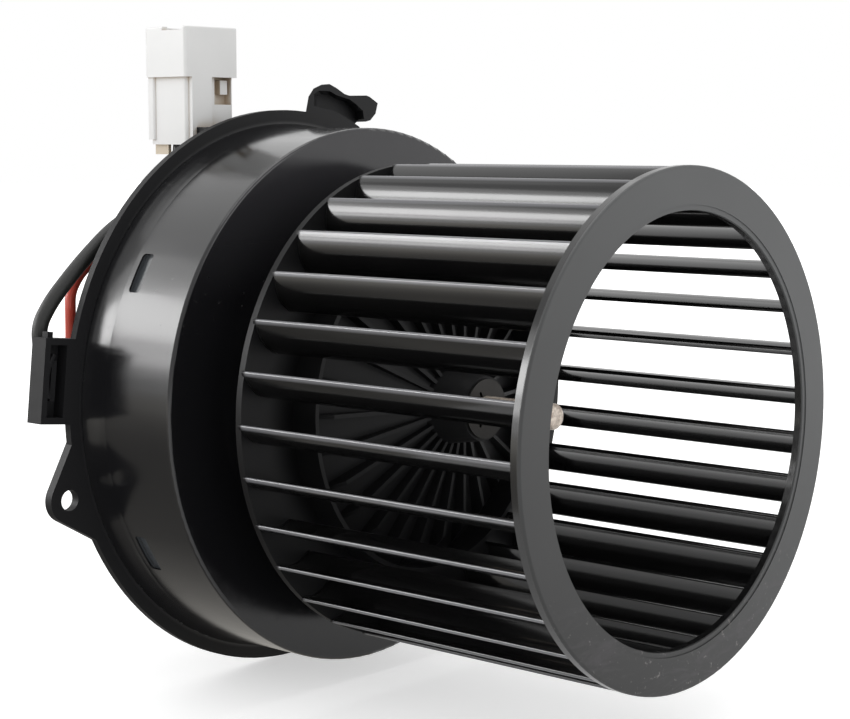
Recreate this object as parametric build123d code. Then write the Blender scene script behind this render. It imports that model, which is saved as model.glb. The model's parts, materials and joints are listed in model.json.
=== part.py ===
from build123d import *
import os
from math import cos, hypot, sin, tan, radians

# Blower for a car's cabin heater: a tall forward-curved wheel on a small brush motor.
# The motor sits in a round plastic housing with a rim, screw ears and a short lead.
# Millimetres and degrees. The shaft lies along X and the air inlet faces +X.
# X = 0 is the front face of the rim. Angles turn from +Y towards +Z.

# Clearances
running_gap = 0.05          # round bearing on the shaft, each side
seat_gap = 0.05             # curved faces that are pressed or glued together
face_gap = 0.3              # flat faces that turn past each other
overcut = 1.0               # cuts run past the faces that they break through
air_gap = 0.7               # between armature and magnets

# Blower wheel
wheel_radius = 75.0
wheel_length = 104.5
ring_width = 12.6           # across the inlet ring's flat face
ring_thickness = 3.0
ring_edge_radius = 0.8
ring_step_width = 1.6       # shallow step round the inlet
ring_step_depth = 0.3
blade_count = 30
blade_thickness = 1.3
blade_camber = 2.0
blade_sweep = 4.9           # angle from outer edge to inner edge
blade_inset = 0.1           # blade tips, inside the ring's outer face
first_blade_angle = 180.3
hub_wall = 2.2
hub_outset = 1.5            # rear of the hub disc, behind the blades
hub_disc_radius = 74.4
cone_foot_radius = 52.0
cone_height = 15.8
collar_radius = 10.0
collar_length = 20.0
collar_rise = 13.5          # collar stands this far in front of the cone
fin_count = 26
fin_thickness = 1.2
fin_height = 4.0
hoop_radius = 53.5
hoop_thickness = 1.5
hoop_height = 9.5

# Shaft
shaft_radius = 4.0
shaft_past_collar = 28.3
shaft_tip_round = 1.8
wheel_clip_thickness = 0.8
wheel_clip_slit = 1.0
wheel_clip_reach = 6.2      # slits reach this far from the shaft's middle
wheel_clip_slits = 3

# Housing
drum_radius = 85.7
drum_length = 38.2
drum_wall = 2.5
drum_edge = 1.0
rim_reach = 6.0             # rim's edge, outside the drum
rim_thickness = 2.5
cove_height = 1.5           # hollow round where the drum meets the rim
cove_length = 9.0
cove_land = 0.5             # and the short flat beside the rim
well_foot_gap = 12.5        # from the motor's cup to the foot of the well
well_slope = 3.8            # the well is this much wider at the front plate
well_depth = 12.2
wheel_gap = 17.8            # from the drum's front face to the blades
cup_wall = 2.5
cup_rear = -14.0
rear_rib_count = 8
rear_rib_thickness = 2.0
rear_rib_inset = 4.0

# Blind slots in the drum's wall
slot_length = 13.0
slot_width = 5.0
slot_depth = 1.6
slot_corner = 1.2
slot_x = 13.6
slot_angles = (30.5, 90.5, 150.5, 210.8, 270.8, 330.8)

# Screw ears
screw_reach = 4.3           # screw holes, outside the rim's edge
screw_hole_radius = 3.2
screw_count = 2
first_screw_angle = 196.0
ear_thickness = 3.0
ear_eye_radius = 7.0
ear_foot_radius = 2.0
ear_half_angle = 11.5       # between an ear's middle and each side of its foot

# Locating pocket at the side
pocket_angle = 174.0
pocket_height = 25.8
pocket_reach = 10.1         # outer wall stands this far outside the rim
pocket_wall = 2.0
pocket_depth = 6.5
tongue_thickness = 1.8
tongue_height = 12.0

# Hooked pocket at the top, as heights over the rim's edge and angles round the shaft
hook_heights = (-3.5, 5.1, 8.1, 10.0, 11.0, 10.5, 9.6, 9.8, 12.8, 13.0, 12.7, 9.0, 5.8, 4.3, 2.1, -3.5)
hook_angles = (84.6, 83.8, 82.6, 80.6, 78.5, 76.5, 74.1, 72.7, 68.3, 67.4, 64.9, 64.6, 65.4, 66.6,
               67.6, 69.0)
hollow_heights = (2.6, 6.4, 7.8, 8.7, 8.2, 8.6, 8.2, 7.3, 4.9, 3.4, 1.4, 2.0, 2.6, 2.8, 2.4)
hollow_angles = (82.2, 82.4, 81.2, 78.2, 76.1, 72.5, 70.6, 68.2, 67.2, 65.0, 66.4, 71.2, 74.4, 76.6, 79.0)
hook_taper = 0.7            # the hook's rear is this much as wide as its front
hook_end_angle = 66.0       # and keeps this end in line
hook_floor = 2.0

# Motor
case_radius = 36.0
case_wall = 1.8
isolator_wall = 3.0         # rubber between motor and housing
isolator_length = 12.0
isolator_lip = 3.0          # front rubber reaches this far over the case's front
rear_isolator_length = 9.0
bearing_lip = 1.0           # opening round the shaft at each bearing's cap
bearing_radius = 7.9
bearing_length = 9.0
end_plate_thickness = 1.6
magnet_thickness = 5.4
magnet_length = 28.0
magnet_angle = 130.0
clip_angle = 40.0
clip_thickness = 0.8
core_length = 22.0
core_slots = 12
core_slot_width = 5.0
core_mouth = 2.0
core_yoke_radius = 12.5
core_lip = 2.4
winding_overhang = 6.5
winding_inner_radius = 10.0
winding_fit = 0.35
winding_round = 2.0
commutator_radius = 11.0
commutator_length = 7.5
commutator_cut = 0.6
commutator_cut_depth = 1.2
washer_thickness = 1.4
washer_radius = 7.2
core_to_front = 9.2         # from the case front wall to the core
brush_angles = (0.0, 180.0)
brush_width = 4.0
brush_height = 6.0
brush_length = 9.0
guide_wall = 1.0
holder_thickness = 1.6
holder_room = 3.7           # from the brush holder to the end plate
spring_wire = 0.7
spring_length = 4.5
tab_inset = 8.0             # terminal tabs, inside the case's radius
tab_width = 4.4
tab_thickness = 0.8
tab_gap = 2.0

# Rear cover
cover_wall = 2.4
cover_gap = 1.0             # between motor case and cover
cover_bevel = 2.0
cover_end_gap = 1.9         # from the rear bearing's hub to the cover
boss_sink = 0.8             # bosses reach into the cup's wall by this much
cover_screw_angles = (65.0, 225.0, 315.0)
screw_radius = 1.5
screw_head_radius = 3.4
screw_head_height = 2.4
screw_head_round = 1.4
screw_recess = 1.2
screw_length = 12.0
screw_point_room = 1.0      # pilot holes are this much deeper than the screws
boss_radius = 4.4
boss_length = 20.0
vent_count = 10
vent_width = 3.0
vent_inner_radius = 16.0
vent_inset = 6.0            # outer end of each vent, inside the case's radius

# Leads, as points of their routes
wire_radius = 1.7
sleeve_radius = 2.4
sleeve_bore = 1.9
pin_spacing = 11.0
grommet_lip = 1.0
lip_seat = 0.15
grommet_wall = 0.9
lead_spread = 2.6           # leads leave this far above and below the middle
black_bends = [(-33.0, -63.0, -3.4), (-24.0, -76.6, -3.8), (-16.0, -87.0, -2.0), (-11.5, -91.4, 7.5),
               (-10.0, -94.2, 17.6), (-9.8, -95.2, 26.0), (-9.5, -90.4, 33.4), (-9.2, -80.2, 43.6),
               (-9.4, -66.0, 55.0), (-13.0, -50.0, 60.4), (-18.0, -38.6, 62.2), (-21.6, -31.0, 66.4)]
red_bends = [(-35.0, -60.0, 5.4), (-28.0, -69.6, 11.6), (-19.6, -75.4, 20.0), (-15.7, -78.4, 28.6),
             (-15.6, -78.4, 35.0), (-15.6, -74.8, 40.4), (-15.7, -67.0, 46.4), (-15.9, -56.4, 51.0),
             (-17.6, -45.0, 54.4), (-20.6, -33.6, 57.0), (-22.4, -23.2, 61.8), (-22.7, -17.4, 70.0)]
exit_run = 9.0              # leads run straight for this far outside the cover
entry_run = 2.4             # and this far below the connector
sleeve_corners = 11         # corners of the black route that the sleeve covers
route_rim_radius = 91.7     # the bends were laid for a rim of this radius

# Lead clip on the rim
lead_clip_angle = 146.5
lead_clip_width = 4.0
lead_clip_sink = 2.3        # foot of the clip, inside the drum's outer face
lead_clip_wall = 1.4
lead_clip_reach = 3.8
lead_clip_x = -13.4

# Connector
connector_front = -12.0
connector_depth = 20.0
connector_middle = -21.7    # across
connector_width = 23.0
connector_drop = 11.3       # bottom of the connector, inside the rim's edge
connector_height = 38.0
connector_round = 1.2       # upright corners
connector_lip_round = 0.5   # edge round the socket's mouth
pin_inset = 10.8            # from the connector's front face to the pins
shroud_height = 16.2
shroud_step = 1.6           # body, inside the shroud
socket_wall = 2.4
socket_depth = 16.0
notch_depth = 1.2           # low stretch in the shroud's mouth
notch_inset = 1.6           # and its place, from the shroud's front
notch_length = 9.8
latch_height = 8.8
latch_width = 7.4
latch_inset = 1.0
latch_depth = 3.2
nose_inset = 0.9            # stub that fills part of the latch window
nose_width = 3.2
nose_height = 4.6
lock_drop = 3.2
lock_width = 6.4
lock_thickness = 1.2
pad_width = 9.8
pad_thickness = 1.6
rail_width = 2.0            # upright rail along the body's rear corner
rail_round = 1.0
edge_step = 1.6
terminal_width = 4.8
terminal_thickness = 0.8
terminal_length = 20.0
terminal_base = 8.0         # from the connector's bottom to the pins
channel_gap = 0.25
bracket_width = 14.0
bracket_drop = 2.4          # bracket starts this far below the connector
bracket_height = 8.0

# Places worked out from the sizes above
wheel_back = drum_length + wheel_gap
wheel_front = wheel_back + wheel_length
ring_back = wheel_front - ring_thickness
inlet_radius = wheel_radius - ring_width
blade_tip_radius = wheel_radius - blade_inset
hub_back = wheel_back - hub_outset
hub_front = hub_back + hub_wall
cone_top = hub_front + cone_height
collar_front = cone_top + collar_rise
collar_back = collar_front - collar_length
bore_radius = shaft_radius + seat_gap
drum_inner = drum_radius - drum_wall
rim_radius = drum_radius + rim_reach
screw_circle = rim_radius + screw_reach
plate_back = drum_length - drum_wall
well_floor = drum_length - well_depth
floor_back = well_floor - drum_wall
cup_inner = case_radius + isolator_wall
cup_outer = cup_inner + cup_wall
cup_opening = case_radius - isolator_lip
well_foot_radius = cup_outer + well_foot_gap
well_radius = well_foot_radius + well_slope
case_front = floor_back - isolator_wall
case_inner = case_radius - case_wall
case_front_inner = case_front - case_wall
magnet_outer = case_inner - seat_gap
magnet_inner = magnet_outer - magnet_thickness
core_radius = magnet_inner - air_gap
core_front = case_front_inner - core_to_front
core_rear = core_front - core_length
magnet_rear = (core_front + core_rear - magnet_length) / 2
winding_rear = core_rear - winding_overhang
commutator_front = winding_rear - face_gap
commutator_rear = commutator_front - commutator_length
brush_x = (commutator_front + commutator_rear) / 2
brush_back = commutator_radius + seat_gap + brush_length
guide_outer = brush_back + spring_length + spring_wire
holder_front = commutator_rear - face_gap
holder_rear = holder_front - holder_thickness
holder_opening = washer_radius + 3 * face_gap
end_plate_front = holder_rear - holder_room
case_rear = end_plate_front - end_plate_thickness
rear_bearing_front = commutator_rear - washer_thickness - 2 * face_gap
rear_bearing_rear = rear_bearing_front - bearing_length
bearing_cap = rear_bearing_rear - face_gap
bearing_pocket = bearing_radius + seat_gap
front_bearing_front = case_front + bearing_length
shaft_rear = rear_bearing_rear + face_gap
shaft_front = collar_front + shaft_past_collar
cover_front = cup_rear
cover_rear = bearing_cap - end_plate_thickness - cover_end_gap - cover_wall
cover_inner = case_radius + cover_gap
cover_outer = cover_inner + cover_wall
cover_flange_rear = cover_front - cover_wall
cover_screw_circle = cup_outer + boss_radius - boss_sink
exit_x = (cover_rear + cover_wall + case_rear) / 2
tab_middle = case_radius - tab_inset
exit_y = -tab_middle - tab_thickness / 2
sleeve_start = -cover_outer - grommet_lip - face_gap
vent_outer_radius = case_radius - vent_inset
lead_clip_inner = drum_radius - lead_clip_sink
pin_row = connector_front - pin_inset
connector_rear = connector_front - connector_depth
connector_low = connector_middle - connector_width / 2
connector_high = connector_middle + connector_width / 2
connector_bottom = rim_radius - connector_drop
connector_top = connector_bottom + connector_height
shroud_bottom = connector_top - shroud_height
pin_foot = connector_bottom + terminal_base


def turned(*corners):
    """Solid of revolution about the shaft, from (x, radius) corners."""
    return revolve(make_face(Polyline(*corners, close=True)), Axis.X)


def tube(x_rear, x_front, inner, outer):
    """Ring about the shaft."""
    return turned((x_rear, inner), (x_front, inner), (x_front, outer), (x_rear, outer))


def block(low, high):
    """Box between two corners."""
    size = [b - a for a, b in zip(low, high)]
    return Pos(*low) * Box(*size, align=(Align.MIN, Align.MIN, Align.MIN))


def spin(angle, shape):
    """Turn a shape about the shaft."""
    return Rot(angle, 0, 0) * shape


def around(count, shape, first=0.0):
    """Copies of a shape, evenly spaced about the shaft."""
    return [spin(first + i * 360.0 / count, shape) for i in range(count)]


def bar(x_rear, x_front, radius, middle=0.0):
    """Round bar parallel to the shaft, at a distance from it towards +Y."""
    return Pos(x_rear, middle, 0) * Rot(0, 90, 0) * Cylinder(
        radius, x_front - x_rear, align=(Align.CENTER, Align.CENTER, Align.MIN))


def across(sketch, x_rear, x_front):
    """Extrude a sketch, drawn as seen from the inlet, between two stations."""
    return extrude(Plane.YZ.offset(x_rear) * sketch, x_front - x_rear)


def wedge(corners, thickness):
    """Flat plate in the plane of the shaft and +Y, from (x, radius) corners."""
    return extrude(make_face(Polyline(*corners, close=True)), thickness / 2, both=True)


def polar(radius, angle):
    """Point seen from the inlet."""
    return (radius * cos(radians(angle)), radius * sin(radians(angle)))


# Blower wheel

def blade_outline():
    """Curved vane section, outer edge on +Y, inner edge turned towards +Z."""
    outer = Vector(*polar(blade_tip_radius - blade_thickness / 2, 0))
    inner = Vector(*polar(inlet_radius + blade_thickness / 2, blade_sweep))
    chord = (inner - outer).normalized()
    normal = Vector(chord.Y, -chord.X)
    middle = (outer + inner) * 0.5 + normal * blade_camber
    return SlotArc(ThreePointArc(outer, middle, inner), blade_thickness)


def hub_fin():
    """Radial stiffening fin on the front of the cone."""
    foot = hub_front - hub_wall / 2
    top = cone_top - hub_wall / 2
    inner = collar_radius - blade_thickness
    outer = cone_foot_radius - fin_height
    corners = ((top, inner), (top + fin_height, inner), (hub_front + 2 * fin_height, outer - fin_height),
               (hub_front, outer + fin_height), (foot, outer))
    return wedge(corners, fin_thickness)


def blower_wheel():
    ring = tube(ring_back, wheel_front, inlet_radius, wheel_radius)
    ring = fillet(ring.edges().filter_by(GeomType.CIRCLE).group_by(Axis.X)[-1], ring_edge_radius)
    ring -= tube(wheel_front - ring_step_depth, wheel_front + overcut, 0, inlet_radius + ring_step_width)
    waist = collar_radius + hub_wall
    hub = turned(
        (hub_back, hub_disc_radius), (hub_front, hub_disc_radius), (hub_front, cone_foot_radius),
        (cone_top, waist), (collar_front, collar_radius), (collar_front, bore_radius),
        (collar_back, bore_radius), (collar_back, collar_radius - blade_thickness),
        (cone_top - hub_wall, collar_radius - blade_thickness), (cone_top - hub_wall, waist),
        (hub_back, cone_foot_radius - hub_wall))
    hoop_inner = hoop_radius - hoop_thickness
    hoop = tube(hub_front - hub_wall / 2, hub_front + hoop_height, hoop_inner, hoop_radius)
    blade = across(blade_outline(), wheel_back, ring_back + ring_thickness / 3)
    blades = around(blade_count, blade, first_blade_angle)
    fins = around(fin_count, hub_fin())
    return ring.fuse(hub, hoop, *blades, *fins)


def shaft():
    body = tube(shaft_rear, shaft_front, 0, shaft_radius)
    return fillet(body.edges().filter_by(GeomType.CIRCLE).group_by(Axis.X)[-1], shaft_tip_round)


def wheel_clip():
    """Push-on spring ring that holds the wheel on the shaft."""
    front = collar_front + wheel_clip_thickness
    ring = tube(collar_front, front, bore_radius, collar_radius - wheel_clip_thickness)
    slit = block((collar_front - overcut, 0, -wheel_clip_slit / 2),
                 (front + overcut, wheel_clip_reach, wheel_clip_slit / 2))
    return ring - around(wheel_clip_slits, slit)


# Housing

def ear_outline(angle):
    eye = Pos(screw_circle, 0) * Circle(ear_eye_radius)
    foot = Pos(rim_radius - 2 * ear_foot_radius, 0) * Circle(ear_foot_radius)
    feet = [Rot(0, 0, side * ear_half_angle) * foot for side in (-1, 1)]
    hull = make_hull([e for s in (eye, *feet) for e in s.edges()])
    return Rot(0, 0, angle) * hull


def screw_angles():
    return [first_screw_angle + i * 360.0 / screw_count for i in range(screw_count)]


def side_pocket():
    """Open-fronted box beside the rim, with a curved spring tongue."""
    outer = rim_radius + pocket_reach
    inner = drum_inner + drum_wall
    half = pocket_height / 2
    box = block((-pocket_depth, inner, -half), (0, outer, half))
    hollow = block((-pocket_depth + pocket_wall, rim_radius + pocket_wall, -half + pocket_wall),
                   (pocket_depth, outer - pocket_wall, half - pocket_wall))
    reach = pocket_reach - 2 * pocket_wall
    tongue_inner = outer - pocket_wall - tongue_thickness
    tongue = block((-pocket_depth + pocket_wall / 2, tongue_inner, -tongue_height / 2),
                   (-pocket_wall / 2, tongue_inner + tongue_thickness, tongue_height / 2))
    tongue = Pos(0, -reach / 4, 0) * tongue
    web = block((-pocket_depth + pocket_wall / 2, outer - pocket_wall - reach / 2, -tongue_thickness / 2),
                (-pocket_wall, outer - pocket_wall / 2, tongue_thickness / 2))
    foot = block((-pocket_depth + pocket_wall, outer - 2 * pocket_wall, -half - tongue_thickness),
                 (-pocket_wall, outer - pocket_wall, -half + pocket_wall / 2))
    return spin(pocket_angle, (box - hollow) + [tongue, web, foot])


def hook_face(heights, angles, x):
    """Face of the hook at one station, narrowed behind the rim towards the end that stays in line."""
    width = 1 + (1 - hook_taper) * x / pocket_depth
    points = []
    for height, angle in zip(heights, angles):
        turned_in = hook_end_angle + width * (angle - hook_end_angle)
        points.append((x, *polar(rim_radius + height, turned_in)))
    return make_face(Polyline(*points, close=True))


def top_hook():
    """Hook-shaped pocket at the top, narrower at its rear and open at its right end."""
    floor = -pocket_depth + hook_floor
    walls = [hook_face(hook_heights, hook_angles, x) for x in (-pocket_depth, 0)]
    hollow = [hook_face(hollow_heights, hollow_angles, x) for x in (floor, overcut)]
    return loft(walls, ruled=True) - loft(hollow, ruled=True)


def rear_rib():
    """Radial rib in the hollow behind the drum's front plate."""
    start = rear_rib_inset
    inset = drum_wall / 2
    corners = ((start, cup_outer - cup_wall / 2), (floor_back + inset, cup_outer - cup_wall / 2),
               (floor_back + inset, well_foot_radius), (plate_back + inset, well_radius + drum_wall),
               (plate_back + inset, drum_inner + inset), (start, drum_inner + inset))
    return wedge(corners, rear_rib_thickness)


def lead_clip():
    """Finger behind the rim that the sleeved lead is pushed under."""
    half = lead_clip_width / 2
    post = block((lead_clip_x, lead_clip_inner, -half),
                 (-rim_thickness / 2, lead_clip_inner + lead_clip_wall, half))
    finger = block((lead_clip_x, lead_clip_inner, -half),
                   (lead_clip_x + lead_clip_wall, lead_clip_inner + lead_clip_reach, half))
    return spin(lead_clip_angle, post + finger)


def connector_bracket():
    """Tongue behind the rim that carries the connector."""
    bottom = connector_bottom - bracket_drop
    return block((connector_front, connector_middle - bracket_width / 2, bottom),
                 (-rim_thickness / 2, connector_middle + bracket_width / 2, bottom + bracket_height))


def cover_bosses():
    return [spin(a, bar(cup_rear, cup_rear + boss_length, boss_radius, cover_screw_circle))
            for a in cover_screw_angles]


def housing_profile():
    """Half section of the rim, drum, front plate, well and cup."""
    land = drum_radius + cove_height
    edge_x = drum_length - drum_edge
    edge = TangentArc((edge_x, drum_radius), (drum_length, drum_radius - drum_edge), tangent=(1, 0))
    cove = TangentArc((cove_length, drum_radius), (cove_land, land), tangent=(-1, 0))
    wall = Line((cove_length, drum_radius), (edge_x, drum_radius))
    rest = Polyline(
        (drum_length, drum_radius - drum_edge), (drum_length, well_radius), (well_floor, well_foot_radius),
        (well_floor, cup_opening), (floor_back, cup_opening), (floor_back, cup_inner),
        (cup_rear, cup_inner), (cup_rear, cup_outer), (floor_back, cup_outer),
        (floor_back, well_foot_radius + drum_wall), (plate_back, well_radius + drum_wall),
        (plate_back, drum_inner), (-rim_thickness, drum_inner), (-rim_thickness, rim_radius),
        (0, rim_radius), (0, land), (cove_land, land))
    return make_face([*edge.edges(), *cove.edges(), *wall.edges(), *rest.edges()])


def wall_slot():
    """Shallow slot with rounded corners, cut into the drum's wall from +Y."""
    floor = Plane(origin=(slot_x, drum_radius - slot_depth, 0), x_dir=(1, 0, 0), z_dir=(0, 1, 0))
    return extrude(floor * RectangleRounded(slot_width, slot_length, slot_corner), 2 * slot_depth)


def housing():
    """One moulding: rim, drum, front plate with its well, and the motor's cup."""
    shell = revolve(housing_profile(), Axis.X)
    ears = [across(ear_outline(a), -ear_thickness, 0) for a in screw_angles()]
    body = shell.fuse(*ears, side_pocket(), top_hook(), lead_clip(), connector_bracket(), *cover_bosses(),
                      *around(rear_rib_count, rear_rib(), 180.0 / rear_rib_count))
    hole = bar(-3 * ear_thickness, ear_thickness, screw_hole_radius, screw_circle)
    pilot = bar(cup_rear - overcut, cup_rear + screw_length, screw_radius + seat_gap, cover_screw_circle)
    cuts = [spin(a, wall_slot()) for a in slot_angles]
    cuts += [spin(a, hole) for a in screw_angles()]
    cuts += [spin(a, pilot) for a in cover_screw_angles]
    return body - cuts


# Motor

def motor_case():
    """Drawn steel can with a nose for the front bearing."""
    lip = shaft_radius + bearing_lip
    nose_inner = front_bearing_front + face_gap
    nose_front = nose_inner + case_wall
    nose_radius = bearing_pocket + case_wall
    return turned(
        (case_rear, case_radius), (case_front, case_radius), (case_front, nose_radius),
        (nose_front, nose_radius), (nose_front, lip), (nose_inner, lip), (nose_inner, bearing_pocket),
        (case_front_inner, bearing_pocket), (case_front_inner, case_inner), (case_rear, case_inner))


def end_plate():
    """Steel plate that closes the can and holds the rear bearing."""
    hub = bearing_pocket + end_plate_thickness
    cap_rear = bearing_cap - end_plate_thickness
    rim = case_inner - seat_gap
    lip = shaft_radius + bearing_lip
    plate = turned(
        (case_rear, rim), (end_plate_front, rim), (end_plate_front, hub), (rear_bearing_front, hub),
        (rear_bearing_front, bearing_pocket), (bearing_cap, bearing_pocket), (bearing_cap, lip),
        (cap_rear, lip), (cap_rear, hub), (case_rear, hub))
    gate_half = tab_gap / 2 + tab_width + tab_thickness
    gate = block((case_rear - overcut, -tab_middle - tab_gap / 2, -gate_half),
                 (end_plate_front + overcut, -tab_middle + tab_gap / 2, gate_half))
    return plate - gate


def bearing(x_rear, x_front):
    return tube(x_rear, x_front, shaft_radius + running_gap, bearing_radius)


def arc_shell(x_rear, x_front, inner, outer, angle, span):
    """Part of a ring, centred on an angle."""
    corners = ((x_rear, inner), (x_front, inner), (x_front, outer), (x_rear, outer))
    face = make_face(Polyline(*corners, close=True))
    return spin(angle - span / 2, revolve(face, Axis.X, span))


def magnet(angle):
    front = magnet_rear + magnet_length
    return arc_shell(magnet_rear, front, magnet_inner, magnet_outer, angle, magnet_angle)


def magnet_clips():
    """Spring strips between the two magnets."""
    front = magnet_rear + magnet_length
    inner = magnet_outer - clip_thickness
    return [arc_shell(magnet_rear, front, inner, magnet_outer, a, clip_angle) for a in (0, 180)]


def core_slot():
    """Winding slot with a narrow mouth, along +Y."""
    bottom = core_yoke_radius
    top = core_radius - core_lip
    half = core_slot_width / 2
    room = block((core_rear - overcut, bottom, -half), (core_front + overcut, top, half))
    mouth = block((core_rear - overcut, top - overcut, -core_mouth / 2),
                  (core_front + overcut, core_radius + overcut, core_mouth / 2))
    return room + mouth


def armature_core():
    stack = tube(core_rear, core_front, bore_radius, core_radius)
    return stack - around(core_slots, core_slot())


def armature_winding():
    """Copper coils: a bar in each slot and a ring of end turns at each end."""
    half = core_slot_width / 2 - winding_fit
    bottom = core_yoke_radius + winding_fit
    top = core_radius - core_lip - winding_fit
    coil = block((core_rear - overcut, bottom, -half), (core_front + overcut, top, half))
    coils = around(core_slots, coil)
    turns = []
    for x_rear, x_front in ((winding_rear, core_rear - winding_fit),
                            (core_front + winding_fit, core_front + winding_overhang)):
        ring = tube(x_rear, x_front, winding_inner_radius, top)
        outer_edges = ring.edges().filter_by(GeomType.CIRCLE).group_by(SortBy.RADIUS)[-1]
        turns.append(fillet(outer_edges, winding_round))
    return turns[0].fuse(turns[1], *coils)


def commutator():
    drum = tube(commutator_rear, commutator_front, bore_radius, commutator_radius)
    cut = block((commutator_rear - overcut, commutator_radius - commutator_cut_depth, -commutator_cut / 2),
                (commutator_front - overcut, commutator_radius + overcut, commutator_cut / 2))
    return drum - around(core_slots, cut, 180.0 / core_slots)


def thrust_washers():
    front = case_front_inner - face_gap
    rear = rear_bearing_front + face_gap
    places = (front - washer_thickness, rear)
    return [tube(x, x + washer_thickness, bore_radius, washer_radius) for x in places]


def brush_holder():
    """Plastic plate with two square guides for the brushes."""
    plate = tube(holder_rear, holder_front, holder_opening, case_inner - seat_gap)
    half_w = brush_width / 2 + running_gap
    half_h = brush_height / 2 + running_gap
    guide = block((holder_rear, commutator_radius + guide_wall, -half_h - guide_wall),
                  (brush_x + half_w + guide_wall, guide_outer, half_h + guide_wall))
    channel = block((brush_x - half_w, 0, -half_h),
                    (brush_x + half_w, guide_outer - spring_wire, half_h))
    body = plate.fuse(*[spin(a, guide) for a in brush_angles])
    bore = tube(holder_rear, brush_x + brush_height, 0, holder_opening)
    return body - [spin(a, channel) for a in brush_angles] - bore


def brush(angle):
    """Carbon block whose inner end is hollowed to the commutator."""
    body = block((brush_x - brush_width / 2, commutator_radius - brush_width, -brush_height / 2),
                 (brush_x + brush_width / 2, brush_back, brush_height / 2))
    face = tube(brush_x - brush_width, brush_x + brush_width, 0, commutator_radius + seat_gap)
    return spin(angle, body - face)


def brush_springs():
    """Coil spring behind each brush, as its outer shape."""
    outer = brush_width / 2 - running_gap
    length = guide_outer - spring_wire - brush_back
    low = (Align.CENTER, Align.CENTER, Align.MIN)
    coil = Cylinder(outer, length, align=low) - Cylinder(outer - spring_wire, length, align=low)
    coil = Pos(brush_x, brush_back, 0) * Rot(-90, 0, 0) * coil
    return [spin(a, coil) for a in brush_angles]


def motor_terminals():
    """Two tabs that bring the brush current out to the leads."""
    rear = exit_x - wire_radius - tab_thickness
    lows = (tab_gap / 2, -tab_gap / 2 - tab_width)
    inner = exit_y + tab_thickness
    return [block((rear, exit_y, low), (holder_rear, inner, low + tab_width)) for low in lows]


def front_isolator():
    """Rubber cup over the case's front edge."""
    rear = case_front - isolator_length
    inner = case_radius + seat_gap
    outer = cup_inner - seat_gap
    return turned((rear, inner), (rear, outer), (floor_back, outer), (floor_back, cup_opening),
                  (case_front, cup_opening), (case_front, inner))


def rear_isolator():
    front = cup_rear + rear_isolator_length
    return tube(cup_rear, front, case_radius + seat_gap, cup_inner - seat_gap)


# Rear cover

def rear_cover():
    """Cap over the motor's rear, with screw ears, cooling vents and the lead exit."""
    shell = turned(
        (cover_front, cover_inner), (cover_front, cup_outer), (cover_flange_rear, cup_outer),
        (cover_flange_rear, cover_outer), (cover_rear + cover_bevel, cover_outer),
        (cover_rear, cover_outer - cover_bevel), (cover_rear, 0), (cover_rear + cover_wall, 0),
        (cover_rear + cover_wall, cover_inner))
    ear = bar(cover_flange_rear, cover_front, boss_radius, cover_screw_circle)
    link = block((cover_flange_rear, cup_inner, -boss_radius),
                 (cover_front, cover_screw_circle, boss_radius))
    hole = bar(cover_flange_rear - overcut, cover_front + overcut, screw_radius + seat_gap,
               cover_screw_circle)
    vent = block((cover_rear - overcut, vent_inner_radius, -vent_width / 2),
                 (cover_rear + cover_wall + overcut, vent_outer_radius, vent_width / 2))
    body = shell.fuse(*[spin(a, ear + link) for a in cover_screw_angles])
    cuts = [spin(a, hole) for a in cover_screw_angles] + around(vent_count, vent)
    return body - [*cuts, exit_bar(0, 2 * cover_wall)]


def exit_bar(extra, reach):
    """Oval bar along Y through the cover's side wall, where the two leads come out."""
    half = wire_radius + grommet_wall + extra
    middle = -(cover_inner + cover_outer) / 2
    end = Rot(90, 0, 0) * Cylinder(half, 2 * reach)
    ends = [Pos(exit_x, middle, z) * end for z in (-lead_spread, lead_spread)]
    web = block((exit_x - half, middle - reach, -lead_spread), (exit_x + half, middle + reach, lead_spread))
    return web.fuse(*ends)


def lead_grommet():
    """Rubber bush in the exit hole, with a lip on each side of the wall."""
    reach = cover_wall / 2 + grommet_lip + seat_gap
    wall = tube(exit_x - 2 * cover_wall, exit_x + 2 * cover_wall,
                cover_inner - lip_seat, cover_outer + lip_seat)
    body = exit_bar(-seat_gap, reach) + (exit_bar(grommet_lip, reach) - wall)
    hole = Rot(90, 0, 0) * Cylinder(wire_radius + seat_gap, 4 * reach)
    return body - [Pos(exit_x, -cover_outer, z) * hole for z in (-lead_spread, lead_spread)]


def cover_screws():
    """Pan-head screws that hold the cover on the housing."""
    head_rear = cover_flange_rear - screw_head_height
    tip = cup_rear + screw_length - screw_point_room
    shank = bar(cover_flange_rear, tip, screw_radius, cover_screw_circle)
    head = bar(head_rear, cover_flange_rear, screw_head_radius, cover_screw_circle)
    head = fillet(head.edges().filter_by(GeomType.CIRCLE).group_by(Axis.X)[0], screw_head_round)
    slot = Box(2 * screw_recess, 2 * screw_head_radius - screw_head_round, 2 * screw_head_round / 3)
    recess = [Pos(head_rear, cover_screw_circle, 0) * Rot(turn, 0, 0) * slot for turn in (0, 90)]
    return [spin(a, shank + head - recess) for a in cover_screw_angles]


# Leads

def route_radii(points):
    """Arc radii at the corners of a route, each as large as its two runs in the sleeve allow."""
    radii = []
    covered = [Vector(points[0].X, sleeve_start, points[0].Z), *points[1:]]
    for before, corner, after in zip(covered, points[1:], points[2:]):
        arriving, leaving = corner - before, after - corner
        turn = arriving.get_angle(leaving)
        radii.append(0.45 * min(arriving.length, leaving.length) / tan(radians(turn / 2)))
    print("radii", [round(r, 1) for r in radii])
    return radii


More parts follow.
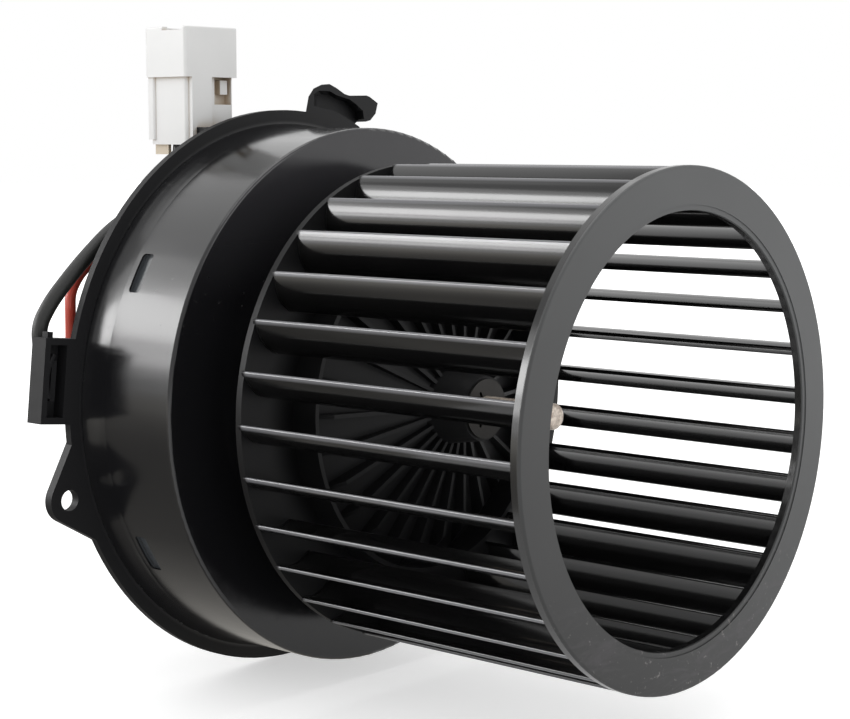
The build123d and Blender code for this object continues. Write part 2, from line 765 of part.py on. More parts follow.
def swept(points, radii, radius, bore=0.0):
    """Tube along straight runs joined by arcs."""
    path = FilletPolyline(*points, radius=radii)
    start = Plane(origin=path @ 0, z_dir=path % 0)
    section = start * Circle(radius) - start * Circle(bore) if bore else start * Circle(radius)
    body = sweep(section, path=path)
    print("volume", round(body.volume, 1), "section times length", round(section.area * path.length, 1))
    return body


def moved_with_rim(bend):
    """A bend, as far from the rim's edge as it was laid."""
    x, y, z = bend
    grown = 1 + (rim_radius - route_rim_radius) / hypot(y, z)
    return (x, grown * y, grown * z)


def lead_points(bends, side):
    """Whole route of one lead: motor tab, hand-placed bends, connector pin."""
    height = side * lead_spread
    pin = (pin_row, connector_middle + side * pin_spacing / 2)
    start = [(exit_x, exit_y, height), (exit_x, -cover_outer - exit_run, height)]
    end = [(*pin, connector_bottom - entry_run), (*pin, pin_foot)]
    return [Vector(*p) for p in (*start, *map(moved_with_rim, bends), *end)]


def lead(points):
    return swept(points, route_radii(points), wire_radius)


def lead_sleeve():
    """Braided sleeve over the black lead, from the grommet to near the connector."""
    points = black_points
    first = Vector(points[0].X, sleeve_start, points[0].Z)
    last = (points[sleeve_corners] + points[sleeve_corners + 1]) * 0.5
    covered = [first, *points[1:sleeve_corners + 1], last]
    return swept(covered, route_radii(points)[:sleeve_corners], sleeve_radius, sleeve_bore)


black_points = lead_points(black_bends, -1)
red_points = lead_points(red_bends, 1)


# Connector

def pin_places():
    return [connector_middle + side * pin_spacing / 2 for side in (-1, 1)]


def pin_block(y, extra, low, high):
    """Upright flat bar for a pin or its slot."""
    half_x = terminal_thickness / 2 + extra
    half_y = terminal_width / 2 + extra
    return block((pin_row - half_x, y - half_y, low), (pin_row + half_x, y + half_y, high))


def post(low, high, radius):
    """Upright block with rounded corners."""
    return fillet(block(low, high).edges().filter_by(Axis.Z), radius)


def connector_housing():
    """White two-way housing with a shroud, a latch window, a pad and a rail."""
    step = shroud_step
    front = connector_front - step
    shroud = post((connector_rear, connector_low, shroud_bottom),
                  (connector_front, connector_high, connector_top), connector_round)
    shroud = fillet(shroud.faces().sort_by(Axis.Z)[-1].edges(), connector_lip_round)
    body = post((connector_rear + step / 2, connector_low + step, connector_bottom),
                (front, connector_high - step / 2, shroud_bottom + step), connector_round)
    pad = block((connector_front - pad_thickness - step, connector_low + step + connector_round,
                 connector_bottom),
                (connector_front, connector_low + step + pad_width, shroud_bottom + step))
    rail = post((connector_rear, connector_low + step / 2, connector_bottom + edge_step),
                (connector_rear + rail_width + step, connector_low + 2 * step + rail_width,
                 shroud_bottom + step), rail_round)
    socket_floor = connector_top - socket_depth
    socket = block((connector_rear + socket_wall, connector_low + socket_wall, socket_floor),
                   (connector_front - socket_wall, connector_high - socket_wall, connector_top + overcut))
    notch_front = connector_front - notch_inset
    notch = block((notch_front - notch_length, connector_low - overcut, connector_top - notch_depth),
                  (notch_front, connector_low + socket_wall + overcut, connector_top + overcut))
    latch_high = connector_high - step / 2 - latch_inset
    window = block((front - latch_depth, latch_high - latch_width, shroud_bottom - latch_height),
                   (connector_front + overcut, latch_high, shroud_bottom))
    nose_high = latch_high - nose_inset
    nose_top = shroud_bottom - nose_inset
    nose = block((front - latch_depth - overcut, nose_high - nose_width, nose_top - nose_height),
                 (front - nose_inset, nose_high, nose_top))
    cuts = [socket, notch, window - nose]
    for y in pin_places():
        depth = terminal_base + overcut
        down = (Align.CENTER, Align.CENTER, Align.MAX)
        channel = Cylinder(wire_radius + channel_gap, depth, align=down)
        cuts.append(Pos(pin_row, y, pin_foot) * channel)
        cuts.append(pin_block(y, seat_gap, pin_foot - seat_gap, socket_floor + overcut))
    return shroud.fuse(body, pad, rail) - cuts


def connector_lock():
    """Ivory strip that locks the terminals; its end shows below the housing."""
    rear = connector_rear + shroud_step
    side = connector_low + shroud_step + connector_round
    low = (rear, side, connector_bottom - lock_drop)
    return block(low, (rear + lock_width, side + lock_thickness, connector_bottom))


def connector_terminals():
    return [pin_block(y, 0, pin_foot, pin_foot + terminal_length) for y in pin_places()]


nodes = {
    "blower_wheel": blower_wheel(),
    "wheel_clip": wheel_clip(),
    "motor_shaft": shaft(),
    "armature_core": armature_core(),
    "armature_winding": armature_winding(),
    "commutator": commutator(),
    "thrust_washers": thrust_washers(),
    "motor_housing": housing(),
    "motor_case": motor_case(),
    "end_plate": end_plate(),
    "front_bearing": bearing(case_front, front_bearing_front),
    "rear_bearing": bearing(rear_bearing_rear, rear_bearing_front),
    "upper_magnet": magnet(90),
    "lower_magnet": magnet(270),
    "magnet_clips": magnet_clips(),
    "brush_holder": brush_holder(),
    "left_brush": brush(180),
    "right_brush": brush(0),
    "brush_springs": brush_springs(),
    "motor_terminals": motor_terminals(),
    "front_isolator": front_isolator(),
    "rear_isolator": rear_isolator(),
    "rear_cover": rear_cover(),
    "cover_screws": cover_screws(),
    "lead_grommet": lead_grommet(),
    "black_lead": lead(black_points),
    "red_lead": lead(red_points),
    "lead_sleeve": lead_sleeve(),
    "connector_housing": connector_housing(),
    "connector_lock": connector_lock(),
    "connector_terminals": connector_terminals(),
}

os.makedirs("parts", exist_ok=True)
for name, shape in nodes.items():
    if isinstance(shape, list):
        shape = Compound(children=shape)
    export_step(shape, f"parts/{name}.step")
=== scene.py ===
import json
import math

import bpy
from mathutils import Matrix, Vector


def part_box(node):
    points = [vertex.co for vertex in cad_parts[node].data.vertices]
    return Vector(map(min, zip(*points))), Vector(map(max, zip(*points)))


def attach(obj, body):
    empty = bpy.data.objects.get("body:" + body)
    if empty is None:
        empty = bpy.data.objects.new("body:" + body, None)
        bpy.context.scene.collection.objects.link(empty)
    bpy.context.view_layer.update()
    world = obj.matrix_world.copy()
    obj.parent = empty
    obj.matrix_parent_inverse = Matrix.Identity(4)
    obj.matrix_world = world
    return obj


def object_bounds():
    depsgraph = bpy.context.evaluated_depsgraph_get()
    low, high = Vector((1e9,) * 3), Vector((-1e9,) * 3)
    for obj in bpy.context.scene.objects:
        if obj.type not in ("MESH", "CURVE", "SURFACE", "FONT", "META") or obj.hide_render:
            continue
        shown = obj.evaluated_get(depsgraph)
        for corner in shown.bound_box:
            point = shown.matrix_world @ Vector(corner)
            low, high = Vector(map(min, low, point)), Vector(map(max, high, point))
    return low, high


# Looks of a car cabin blower: black moulded plastic, a bare shaft, a white connector and two leads.
# Metres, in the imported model's frame: +X along the shaft towards the inlet, +Z up.

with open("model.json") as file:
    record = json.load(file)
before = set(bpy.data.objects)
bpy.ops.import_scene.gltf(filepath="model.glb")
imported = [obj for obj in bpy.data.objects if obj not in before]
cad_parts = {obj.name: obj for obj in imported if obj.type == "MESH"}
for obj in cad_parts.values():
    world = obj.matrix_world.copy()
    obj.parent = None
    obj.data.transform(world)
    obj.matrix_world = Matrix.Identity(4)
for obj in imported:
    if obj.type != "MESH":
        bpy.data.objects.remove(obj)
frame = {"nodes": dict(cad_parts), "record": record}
cad_low, cad_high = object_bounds()
NODES = frame["nodes"]
MM = 0.001


# Places on the part: distances from the shaft's axis and along it

RING_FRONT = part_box("blower_wheel")[1].x
DRUM_SKIN = 85.7 * MM
RIM_STARTS = DRUM_SKIN + 1.2 * MM
RIM_FULL = DRUM_SKIN + 2.6 * MM
SLOT_ROW = 13.6 * MM
DRUM_FRONT = 38.2 * MM
DISC_FRONT = 56.7 * MM


# Camera

CAMERA_AHEAD = 0.3123
CAMERA_PLACE = Vector((RING_FRONT + CAMERA_AHEAD, -0.4608, 0.0819))
CAMERA_RIGHT = Vector((0.74603578, 0.66590586, 0.0))
CAMERA_UP = Vector((-0.07346701, 0.08230746, 0.99389541))
CAMERA_BACK = Vector((0.66184078, -0.74148153, 0.11032642))
CAMERA_LENS = 83.8
SENSOR_WIDTH = 36.0
CAMERA_NEAR = 0.01
CAMERA_FAR = 50.0


def make_camera():
    data = bpy.data.cameras.new("camera")
    camera = bpy.data.objects.new("camera", data)
    bpy.context.scene.collection.objects.link(camera)
    axes = Matrix((CAMERA_RIGHT, CAMERA_UP, CAMERA_BACK)).transposed()
    camera.matrix_world = Matrix.Translation(CAMERA_PLACE) @ axes.to_4x4()
    data.sensor_width = SENSOR_WIDTH
    data.lens = CAMERA_LENS
    data.clip_start = CAMERA_NEAR
    data.clip_end = CAMERA_FAR
    bpy.context.scene.camera = camera


# Shader helpers

class Shader:
    """A new material with its node tree, and short ways to add and join nodes."""

    def __init__(self, name):
        self.material = bpy.data.materials.new(name)
        self.material.use_nodes = True
        self.tree = self.material.node_tree
        self.tree.nodes.clear()
        self.output = self.node("ShaderNodeOutputMaterial")
        self.place = self.node("ShaderNodeTexCoord").outputs["Object"]

    def node(self, kind, **settings):
        made = self.tree.nodes.new(kind)
        for name, value in settings.items():
            setattr(made, name, value)
        return made

    def join(self, source, target):
        self.tree.links.new(source, target)

    def noise(self, scale, detail=4.0, roughness=0.5, stretch=None, distortion=0.0):
        """Noise in metres of the object; stretch is (x, y, z) scale factors."""
        made = self.node("ShaderNodeTexNoise")
        made.inputs["Scale"].default_value = scale
        made.inputs["Detail"].default_value = detail
        made.inputs["Roughness"].default_value = roughness
        made.inputs["Distortion"].default_value = distortion
        self.join(self.stretched(stretch), made.inputs["Vector"])
        return made.outputs["Fac"]

    def stretched(self, stretch):
        if stretch is None:
            return self.place
        mapping = self.node("ShaderNodeMapping")
        mapping.inputs["Scale"].default_value = stretch
        self.join(self.place, mapping.inputs["Vector"])
        return mapping.outputs["Vector"]

    def spread(self, value, low, high, to_low=0.0, to_high=1.0):
        """Map a value from one range to another, clamped."""
        made = self.node("ShaderNodeMapRange")
        made.inputs["From Min"].default_value = low
        made.inputs["From Max"].default_value = high
        made.inputs["To Min"].default_value = to_low
        made.inputs["To Max"].default_value = to_high
        self.join(value, made.inputs["Value"])
        return made.outputs["Result"]

    def maths(self, kind, a, b):
        made = self.node("ShaderNodeMath", operation=kind)
        for socket, value in zip(made.inputs, (a, b)):
            if isinstance(value, (int, float)):
                socket.default_value = value
            else:
                self.join(value, socket)
        return made.outputs[0]

    def blend(self, share, first, second):
        """Colour mix; each colour is an (r, g, b) or a socket."""
        made = self.node("ShaderNodeMix", data_type="RGBA")
        self.join(share, made.inputs["Factor"])
        for socket, value in ((made.inputs["A"], first), (made.inputs["B"], second)):
            if isinstance(value, tuple):
                socket.default_value = (*value, 1.0)
            else:
                self.join(value, socket)
        return made.outputs["Result"]

    def bump(self, height, strength, distance, before=None):
        made = self.node("ShaderNodeBump")
        made.inputs["Strength"].default_value = strength
        made.inputs["Distance"].default_value = distance
        self.join(height, made.inputs["Height"])
        if before is not None:
            self.join(before, made.inputs["Normal"])
        return made.outputs["Normal"]

    def surface(self, color, roughness, metallic=0.0, normal=None, shine=None):
        """Finish the material; shine is a socket for the strength of the mirror light."""
        made = self.node("ShaderNodeBsdfPrincipled")
        made.inputs["Metallic"].default_value = metallic
        for socket, value in ((made.inputs["Base Color"], color), (made.inputs["Roughness"], roughness)):
            if isinstance(value, tuple):
                socket.default_value = (*value, 1.0)
            elif isinstance(value, (int, float)):
                socket.default_value = value
            else:
                self.join(value, socket)
        if normal is not None:
            self.join(normal, made.inputs["Normal"])
        if shine is not None:
            self.join(shine, made.inputs["Specular IOR Level"])
        self.join(made.outputs["BSDF"], self.output.inputs["Surface"])
        return self.material


# Materials

PLAIN_SHINE = 0.5

DUST_COLOR = (0.2, 0.19, 0.18)
DUST_SHARE = 0.25
SLOT_FLOOR_COLOR = (0.055, 0.06, 0.066)
# Painted light on the upper part of the drum's front plate
FRONT_PAINTED_LIGHT_COLOR = (0.04, 0.039, 0.043)
MOULDED_WAVE = 0.12
RUB_ROUGHNESS = 0.03
RIM_ROUGHNESS = 0.4
RIM_SHINE = 0.24

RING_MATT = (RING_FRONT - 1.1 * MM, RING_FRONT - 0.5 * MM)
WHEEL_DARK = (0.004, 0.004, 0.0045)
WHEEL_LIGHT = (0.008, 0.0078, 0.0075)
# Painted shade and painted light of the inlet ring
RING_PAINTED_SHADE = (0.002, 0.002, 0.002)
RING_PAINTED_LIGHT = (0.072, 0.074, 0.075)
# Painted shade of the hub deep inside the wheel
HUB_SHADE_COLOR = (0.006, 0.006, 0.0065)
HUB_SHINE = 0.18
# Painted highlight on the blades' outer edges
TIP_HIGHLIGHT_COLOR = (0.15, 0.15, 0.16)
WORN_COLOR = (0.1, 0.09, 0.1)
SPECK_COLOR = (0.3, 0.28, 0.27)


def from_shaft(s):
    """Distance from the shaft's axis, and the places along, across and above it."""
    axis = s.node("ShaderNodeSeparateXYZ")
    s.join(s.place, axis.inputs["Vector"])
    along, across, above = (axis.outputs[letter] for letter in "XYZ")
    squares = s.maths("ADD", s.maths("MULTIPLY", across, across), s.maths("MULTIPLY", above, above))
    return s.maths("POWER", squares, 0.5), along, across, above


def sum_of(s, first, *others):
    """Add sockets one after another."""
    for other in others:
        first = s.maths("ADD", first, other)
    return first


def black_plastic(name, color, roughness):
    """Moulded black plastic: flow clouds, faint waves, fine grain, dust, thin rubs along the shaft, and
    painted light on the upper part of the drum's front plate.
    """
    s = Shader(name)
    radius, along, _, above = from_shaft(s)
    clouds = s.noise(22.0, 3.0, 0.55)
    specks = s.spread(s.noise(420.0, 4.0, 0.65), 0.66, 0.74)
    wiped = s.spread(s.noise(14.0, 2.0, 0.5), 0.45, 0.7)
    dusty = s.maths("MULTIPLY", specks, wiped)
    tone = s.blend(clouds, color, tuple(c * 1.4 for c in color))
    tone = s.blend(s.maths("MULTIPLY", dusty, DUST_SHARE), tone, DUST_COLOR)
    # Floors of the slots in the drum's skin
    sunk = s.maths("MULTIPLY", s.spread(radius, DRUM_SKIN - 0.5 * MM, DRUM_SKIN - 0.8 * MM),
                   s.spread(radius, DRUM_SKIN - 2.0 * MM, DRUM_SKIN - 1.8 * MM))
    sunk = s.maths("MULTIPLY", sunk, s.spread(along, SLOT_ROW + 8 * MM, SLOT_ROW + 7.5 * MM))
    tone = s.blend(sunk, tone, SLOT_FLOOR_COLOR)
    # Painted light: paler upper part of the drum's front plate, where light falls past the wheel
    painted_front_light = s.maths("MULTIPLY", s.spread(along, DRUM_FRONT - 0.6 * MM, DRUM_FRONT - 0.2 * MM),
                    s.spread(above, 35 * MM, 80 * MM, 0.0, 0.8))
    tone = s.blend(painted_front_light, tone, FRONT_PAINTED_LIGHT_COLOR)
    rubs = s.spread(s.noise(240.0, 3.0, 0.6, (0.06, 1.0, 1.0)), 0.52, 0.7)
    scratches = s.spread(s.noise(60.0, 2.0, 0.4, (0.25, 6.0, 6.0)), 0.66, 0.72)
    rough = sum_of(s, s.spread(clouds, 0.3, 0.7, roughness - 0.02, roughness + 0.03),
                   s.maths("MULTIPLY", rubs, RUB_ROUGHNESS),
                   s.maths("MULTIPLY", dusty, 0.2),
                   s.spread(radius, RIM_STARTS, RIM_FULL, 0.0, RIM_ROUGHNESS),
                   s.maths("MULTIPLY", scratches, 0.05))
    grain = s.bump(s.noise(2600.0, 2.0, 0.6), 0.05, 0.02 * MM)
    normal = s.bump(s.noise(26.0, 2.0, 0.5), MOULDED_WAVE, 0.2 * MM, grain)
    shine = s.spread(radius, RIM_STARTS, RIM_FULL, PLAIN_SHINE, RIM_SHINE)
    return s.surface(tone, rough, normal=normal, shine=shine)


def wheel_plastic():
    """Satin blades behind a matt, scuffed inlet ring, with painted light and shade on the ring, painted
    highlights on the blade tips, and painted shade on the duller hub deep inside.
    """
    s = Shader("wheel")
    radius, along, across, above = from_shaft(s)
    on_ring = s.spread(along, *RING_MATT)
    # Painted shade: the hub deep inside the wheel and the disc's front are painted darker and less shiny,
    # and are also rougher
    shaded_inside = s.maths("MULTIPLY", s.spread(along, 100 * MM, 90 * MM), s.spread(radius, 64 * MM, 61.5 * MM))
    painted_hub_shade = s.maths("MAXIMUM", shaded_inside, s.spread(along, DISC_FRONT + 1.0 * MM, DISC_FRONT + 0.2 * MM))
    low_down = s.spread(above, -35 * MM, -70 * MM)
    clouds = s.noise(30.0, 3.0, 0.55)
    specks = s.maths("MULTIPLY", s.spread(s.noise(520.0, 4.0, 0.65), 0.62, 0.7), on_ring)
    scuffs = s.spread(s.noise(90.0, 5.0, 0.7, (1.0, 0.5, 2.0), 0.6), 0.5, 0.66)
    worn = s.maths("MULTIPLY", s.maths("MULTIPLY", scuffs, low_down), on_ring)
    tone = s.blend(clouds, WHEEL_DARK, WHEEL_LIGHT)
    # Painted light and shade: the ring is painted paler towards its upper right and darker towards its
    # lower left
    towards_light = s.maths("ADD", s.maths("MULTIPLY", above, 0.75), s.maths("MULTIPLY", across, 0.45))
    painted_ring_light = s.blend(s.spread(towards_light, -68.7 * MM, 48 * MM), RING_PAINTED_SHADE, RING_PAINTED_LIGHT)
    tone = s.blend(on_ring, tone, painted_ring_light)
    # Painted shade on the hub deep inside
    tone = s.blend(painted_hub_shade, tone, HUB_SHADE_COLOR)
    # Painted highlight: light outer edges of the blades, between the hub disc and the ring
    painted_tip_highlight = s.maths("MULTIPLY", s.spread(radius, 74.3 * MM, 74.7 * MM),
                   s.spread(along, RING_FRONT - 3.0 * MM, RING_FRONT - 3.4 * MM))
    painted_tip_highlight = s.maths("MULTIPLY", painted_tip_highlight, s.spread(along, DISC_FRONT, DISC_FRONT + 1.0 * MM))
    tone = s.blend(painted_tip_highlight, tone, TIP_HIGHLIGHT_COLOR)
    tone = s.blend(s.maths("MULTIPLY", worn, 0.45), tone, WORN_COLOR)
    tone = s.blend(s.maths("MULTIPLY", s.maths("MULTIPLY", specks, low_down), 0.6), tone, SPECK_COLOR)
    rough = sum_of(s, s.spread(clouds, 0.3, 0.7, 0.13, 0.17),
                   s.maths("MULTIPLY", on_ring, 0.34),
                   s.maths("MULTIPLY", painted_hub_shade, 0.3),
                   s.maths("MULTIPLY", worn, 0.1))
    grain = s.bump(s.noise(2200.0, 2.0, 0.6), 0.12, 0.03 * MM)
    normal = s.bump(s.noise(40.0, 2.0, 0.5), 0.06, 0.15 * MM, grain)
    shine = s.spread(painted_hub_shade, 0.0, 1.0, PLAIN_SHINE, HUB_SHINE)
    return s.surface(tone, rough, normal=normal, shine=shine)


def steel(name, color, roughness, stretch=None):
    """Bare metal with fine lines, which stretch lays along one way, and faint stains."""
    s = Shader(name)
    lines = s.noise(420.0, 3.0, 0.6, stretch)
    stain = s.spread(s.noise(60.0, 4.0, 0.6), 0.4, 0.75)
    tone = s.blend(stain, color, tuple(c * 0.7 for c in color))
    rough = s.spread(lines, 0.3, 0.7, roughness - 0.08, roughness + 0.1)
    normal = s.bump(lines, 0.15, 0.03 * MM)
    return s.surface(tone, rough, 1.0, normal)


def simple_plastic(name, color, roughness):
    """Plain moulded or rubbery stock with a fine grain."""
    s = Shader(name)
    clouds = s.noise(90.0, 4.0, 0.6)
    tone = s.blend(clouds, color, tuple(c * 0.85 for c in color))
    rough = s.spread(clouds, 0.3, 0.7, roughness - 0.05, roughness + 0.06)
    normal = s.bump(s.noise(1500.0, 2.0, 0.6), 0.12, 0.05 * MM)
    return s.surface(tone, rough, normal=normal)


def connector_plastic(name, color, shaded):
    """White moulding with painted shade: beige where it lies in a recess or under a ledge."""
    s = Shader(name)
    recess_shade = s.node("ShaderNodeAmbientOcclusion", samples=8)
    recess_shade.inputs["Distance"].default_value = 6 * MM
    clouds = s.noise(90.0, 4.0, 0.6)
    tone = s.blend(clouds, color, tuple(c * 0.95 for c in color))
    # Painted shade: beige where ambient occlusion finds a recess or a ledge above
    tone = s.blend(s.spread(recess_shade.outputs["AO"], 0.8, 0.35), tone, shaded)
    rough = s.spread(clouds, 0.3, 0.7, 0.4, 0.5)
    normal = s.bump(s.noise(1500.0, 2.0, 0.6), 0.12, 0.05 * MM)
    return s.surface(tone, rough, normal=normal)


def braid(name, color):
    """Woven sleeve, as a fine bumpy weave."""
    s = Shader(name)
    weave = s.noise(1400.0, 2.0, 0.5)
    tone = s.blend(weave, color, tuple(c * 2.2 for c in color))
    normal = s.bump(weave, 0.5, 0.15 * MM)
    return s.surface(tone, 0.55, normal=normal)


def spotted(name, color, other, roughness, scale, metallic=0.0):
    """Sintered or pressed stock: one colour broken by another in small grains."""
    s = Shader(name)
    grains = s.spread(s.noise(scale, 3.0, 0.7), 0.4, 0.62)
    tone = s.blend(grains, color, other)
    rough = s.spread(grains, 0.0, 1.0, roughness, roughness + 0.12)
    normal = s.bump(grains, 0.2, 0.04 * MM)
    return s.surface(tone, rough, metallic, normal)


def wound_copper():
    """Enamelled wire laid round the shaft, as fine ridges along it."""
    s = Shader("winding")
    lay = s.noise(900.0, 1.0, 0.4, (1.0, 0.08, 0.08))
    tone = s.blend(lay, (0.5, 0.16, 0.06), (0.78, 0.32, 0.14))
    normal = s.bump(lay, 0.6, 0.2 * MM)
    return s.surface(tone, 0.3, 0.9, normal)


def stacked_sheet():
    """Thin steel sheets, seen as lines across the shaft."""
    s = Shader("core")
    sheets = s.noise(1300.0, 1.0, 0.3, (1.0, 0.02, 0.02))
    tone = s.blend(sheets, (0.14, 0.14, 0.15), (0.32, 0.32, 0.33))
    normal = s.bump(sheets, 0.5, 0.1 * MM)
    return s.surface(tone, 0.45, 1.0, normal)


MATERIALS = {
    "wheel_plastic": wheel_plastic,
    "housing_plastic": lambda: black_plastic("housing", (0.006, 0.006, 0.0068), 0.17),
    "cover_plastic": lambda: black_plastic("cover", (0.012, 0.012, 0.0125), 0.36),
    "shaft_steel": lambda: spotted("shaft", (0.78, 0.69, 0.6), (0.42, 0.34, 0.28), 0.3, 420.0, 0.3),
    "clip_steel": lambda: steel("clip", (0.05, 0.048, 0.046), 0.42),
    "case_steel": lambda: steel("case", (0.6, 0.6, 0.6), 0.38),
    "core_steel": stacked_sheet,
    "winding_copper": wound_copper,
    "commutator_copper": lambda: steel("commutator", (0.75, 0.38, 0.24), 0.3, (0.05, 1.0, 1.0)),
    "washer_plastic": lambda: simple_plastic("washers", (0.62, 0.5, 0.32), 0.45),
    "magnet_ferrite": lambda: spotted("magnets", (0.035, 0.035, 0.038), (0.06, 0.06, 0.065), 0.55, 900.0),
    "spring_steel": lambda: steel("springs", (0.55, 0.55, 0.56), 0.3, (1.0, 0.2, 0.2)),
    "bearing_bronze": lambda: spotted("bearings", (0.5, 0.32, 0.15), (0.3, 0.19, 0.1), 0.4, 700.0, 0.9),
    "holder_plastic": lambda: simple_plastic("holder", (0.09, 0.045, 0.03), 0.5),
    "brush_carbon": lambda: spotted("carbon", (0.02, 0.02, 0.02), (0.045, 0.045, 0.045), 0.5, 1200.0),
    "screw_steel": lambda: steel("screws", (0.6, 0.58, 0.52), 0.35),
    "grommet_rubber": lambda: simple_plastic("grommet", (0.025, 0.025, 0.025), 0.6),
    "isolator_rubber": lambda: simple_plastic("isolator", (0.025, 0.025, 0.025), 0.65),
    "black_insulation": lambda: simple_plastic("black_wire", (0.01, 0.01, 0.01), 0.35),
    "red_insulation": lambda: simple_plastic("red_wire", (0.76, 0.1, 0.065), 0.34),
    "sleeve_braid": lambda: braid("braid", (0.005, 0.0052, 0.0047)),
    # The connector's second colour is its painted shade in recesses
    "connector_white": lambda: connector_plastic("connector", (0.82, 0.82, 0.81), (0.5, 0.41, 0.31)),
    "lock_ivory": lambda: simple_plastic("lock", (0.7, 0.6, 0.45), 0.45),
    "terminal_brass": lambda: steel("brass", (0.75, 0.6, 0.3), 0.3),
}


def paint_all():
    slots = {entry["node"]: entry["material_slot"] for entry in frame["record"]["subparts"]}
    made = {}
    for node in NODES:
        slot = slots[node]
        if slot not in made:
            made[slot] = MATERIALS[slot]()
        mesh = NODES[node].data
        mesh.materials.clear()
        mesh.materials.append(made[slot])


# Small forms

# Spring tongue in the side pocket, in millimetres; its line is the outer face, as (y, z)
TONGUE_LINE = ((-97.0, 18.6), (-98.2, 16.9), (-99.2, 14.6), (-99.9, 12.0), (-100.1, 9.2), (-99.9, 6.8),
               (-99.4, 5.0))
TONGUE_THICKNESS = 1.3
TONGUE_FRONT = -0.2
TONGUE_BACK = -5.5
TONGUE_BEVEL = 0.3


def pocket_tongue():
    """Bowed tongue in the side pocket, seen end on from the front."""
    outer = [Vector((0.0, y, z)) for y, z in TONGUE_LINE]
    inner = []
    for i, point in enumerate(outer):
        along = outer[min(i + 1, len(outer) - 1)] - outer[max(i - 1, 0)]
        away = Vector((0.0, -along.z, along.y)).normalized()
        inner.append(point + TONGUE_THICKNESS * away)
    section = outer + inner[::-1]
    count = len(section)
    ends = (TONGUE_FRONT, TONGUE_BACK)
    places = [(point + Vector((x, 0.0, 0.0))) * MM for x in ends for point in section]
    faces = [tuple(range(count))[::-1], tuple(range(count, 2 * count))]
    faces += [(i, (i + 1) % count, count + (i + 1) % count, count + i) for i in range(count)]
    mesh = bpy.data.meshes.new("pocket_tongue")
    mesh.from_pydata(places, [], faces)
    mesh.validate()
    made = bpy.data.objects.new("pocket_tongue", mesh)
    bpy.context.scene.collection.objects.link(made)
    mesh.materials.append(NODES["motor_housing"].data.materials[0])
    bevel = made.modifiers.new("soft_edges", "BEVEL")
    bevel.width = TONGUE_BEVEL * MM
    bevel.segments = 2
    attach(made, "housing")


# Studio

LIT_PLACE = Vector((0.02, -0.03, 0.0))
LIGHT_DISTANCE = 2.0
WORLD_LIGHT = 1.0
FLOOR_REACH = 6.0
FLOOR_GAP = 0.5 * MM
SHADE_LIFT = 0.2 * MM
SHADE_CORNER = (0.045, 0.01)

# Name, azimuth, lowest and highest elevation, half width in degrees, and radiance
SOFTBOXES = (
    ("key", -145.0, 14.6, 27.0, 22.0, 9.0),
    ("key_fade", -145.0, 27.0, 31.0, 22.0, 3.0),
    ("key_faint", -145.0, 31.0, 37.0, 22.0, 1.9),
    ("key_strip", -145.0, 7.4, 12.8, 22.0, 5.0),
    ("side", -129.0, 7.4, 27.0, 7.0, 4.0),
    ("side_low", -129.0, 0.2, 7.4, 7.0, 2.0),
    ("back", 165.0, 24.0, 60.0, 30.0, 0.6),
    ("top", 45.0, 66.0, 114.0, 24.0, 1.6),
    ("right", 22.0, 8.0, 30.0, 14.0, 1.5),
)


def softbox(name, azimuth, low, high, half_width, radiance):
    """Rectangular soft light far from the object, which faces it and is seen only in its shine."""
    middle = math.radians((low + high) / 2)
    turn = math.radians(azimuth)
    away = Vector((math.cos(middle) * math.cos(turn), math.cos(middle) * math.sin(turn), math.sin(middle)))
    place = LIT_PLACE + LIGHT_DISTANCE * away
    data = bpy.data.lights.new(name, "AREA")
    data.shape = "RECTANGLE"
    data.size = 2 * LIGHT_DISTANCE * math.tan(math.radians(half_width))
    data.size_y = 2 * LIGHT_DISTANCE * math.tan(math.radians(high - low) / 2)
    data.energy = radiance * math.pi * data.size * data.size_y
    light = bpy.data.objects.new(name, data)
    bpy.context.scene.collection.objects.link(light)
    light.location = place
    light.rotation_euler = (LIT_PLACE - place).to_track_quat("-Z", "Y").to_euler()
    light.visible_diffuse = False


def plane(name, height, corners, material):
    """Level sheet of the studio, between two (x, y) corners."""
    mesh = bpy.data.meshes.new(name)
    (left, near), (right, far) = corners
    places = [(left, near, height), (right, near, height), (right, far, height), (left, far, height)]
    mesh.from_pydata(places, [], [(0, 1, 2, 3)])
    mesh.materials.append(material)
    made = bpy.data.objects.new(name, mesh)
    bpy.context.scene.collection.objects.link(made)
    return made


def white_world():
    """White where the camera or a mirror sees it, and the studio's plain light on everything else."""
    world = bpy.data.worlds.new("studio")
    bpy.context.scene.world = world
    world.use_nodes = True
    tree = world.node_tree
    tree.nodes.clear()
    path = tree.nodes.new("ShaderNodeLightPath")
    seen = None
    for ray in ("Is Camera Ray", "Is Glossy Ray", "Is Transmission Ray"):
        if seen is None:
            seen = path.outputs[ray]
            continue
        either = tree.nodes.new("ShaderNodeMath")
        either.operation = "MAXIMUM"
        tree.links.new(seen, either.inputs[0])
        tree.links.new(path.outputs[ray], either.inputs[1])
        seen = either.outputs[0]
    strength = tree.nodes.new("ShaderNodeMapRange")
    strength.inputs["To Min"].default_value = WORLD_LIGHT
    strength.inputs["To Max"].default_value = 1.0
    background = tree.nodes.new("ShaderNodeBackground")
    background.inputs["Color"].default_value = (1.0, 1.0, 1.0, 1.0)
    output = tree.nodes.new("ShaderNodeOutputWorld")
    tree.links.new(seen, strength.inputs["Value"])
    tree.links.new(strength.outputs["Result"], background.inputs["Strength"])
    tree.links.new(background.outputs["Background"], output.inputs["Surface"])


def make_studio():
    white_world()
    height = cad_low.z - FLOOR_GAP
    plane("floor", height, ((-FLOOR_REACH, -FLOOR_REACH), (FLOOR_REACH, FLOOR_REACH)), floor_material())
    shade = plane("floor_shade", height + SHADE_LIFT, ((-FLOOR_REACH, -FLOOR_REACH), SHADE_CORNER),
                  shade_material())
    for ray in ("camera", "diffuse", "transmission", "volume_scatter", "shadow"):
        setattr(shade, "visible_" + ray, False)
    for box in SOFTBOXES:
        softbox(*box)


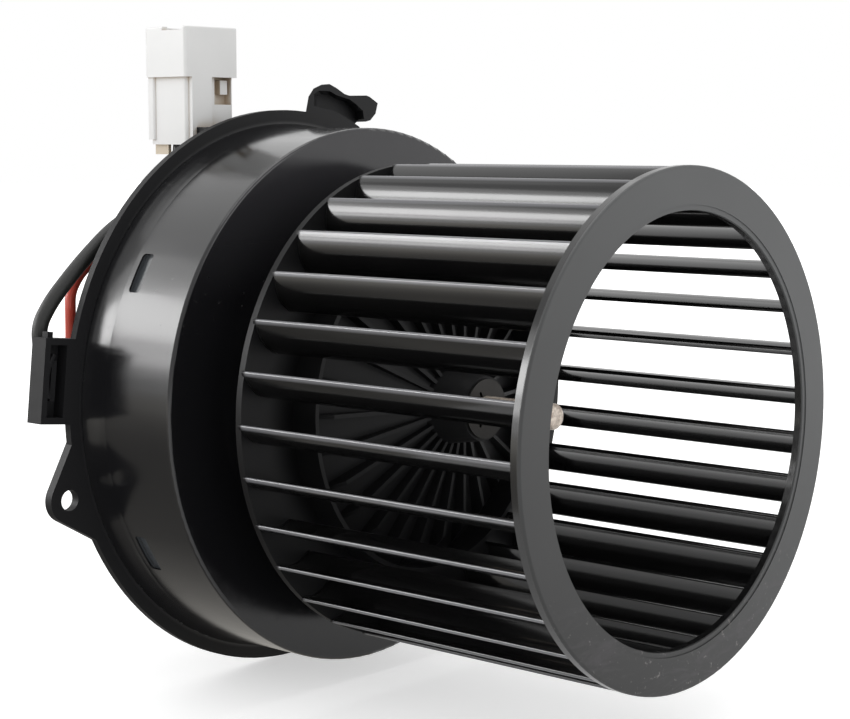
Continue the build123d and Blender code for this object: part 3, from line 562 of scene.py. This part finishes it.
def floor_material():
    """White floor that keeps the shadow and shows as white behind the object."""
    s = Shader("floor_white")
    axis = s.node("ShaderNodeVectorMath", operation="LENGTH")
    s.join(s.place, axis.inputs["Vector"])
    tone = s.blend(s.noise(3.0, 2.0), (0.86, 0.86, 0.86), (0.9, 0.9, 0.9))
    matte = s.node("ShaderNodeBsdfDiffuse")
    s.join(tone, matte.inputs["Color"])
    glow = s.node("ShaderNodeEmission")
    path = s.node("ShaderNodeLightPath")
    seen = s.maths("MAXIMUM", path.outputs["Is Camera Ray"], path.outputs["Is Glossy Ray"])
    seen = s.maths("MAXIMUM", seen, path.outputs["Is Transmission Ray"])
    far = s.spread(axis.outputs["Value"], 0.25, 1.6, 0.5, 0.8)
    s.join(s.maths("MULTIPLY", seen, far), glow.inputs["Strength"])
    both = s.node("ShaderNodeAddShader")
    s.join(matte.outputs["BSDF"], both.inputs[0])
    s.join(glow.outputs["Emission"], both.inputs[1])
    s.join(both.outputs["Shader"], s.output.inputs["Surface"])
    return s.material


def shade_material():
    """Dim end of the studio, seen only in the shine of the plastic."""
    s = Shader("floor_shade")
    axis = s.node("ShaderNodeSeparateXYZ")
    s.join(s.place, axis.inputs["Vector"])
    away = s.node("ShaderNodeVectorMath", operation="LENGTH")
    s.join(s.place, away.inputs["Vector"])
    near = s.spread(axis.outputs["Y"], -0.1, -0.045, 0.29, 0.6)
    far = s.spread(away.outputs["Value"], 0.35, 1.1, 0.0, 0.36)
    across = s.maths("ADD", s.maths("MULTIPLY", axis.outputs["X"], -0.656),
                     s.maths("MULTIPLY", axis.outputs["Y"], 0.755))
    side = s.maths("DIVIDE", s.maths("ADD", across, 0.096), away.outputs["Value"])
    side = s.spread(side, 0.04, -0.1)
    open_side = s.maths("MULTIPLY", side, s.spread(away.outputs["Value"], 0.3, 1.7, 0.25, 1.3))
    strength = s.maths("ADD", s.maths("ADD", near, far), open_side)
    glow = s.node("ShaderNodeEmission")
    s.join(strength, glow.inputs["Strength"])
    s.join(s.blend(s.noise(2.0, 1.0), (0.92, 0.885, 0.82), (1.0, 0.965, 0.9)), glow.inputs["Color"])
    s.join(glow.outputs["Emission"], s.output.inputs["Surface"])
    return s.material


make_camera()
paint_all()
pocket_tongue()
make_studio()
bpy.context.scene.view_settings.view_transform = "Standard"
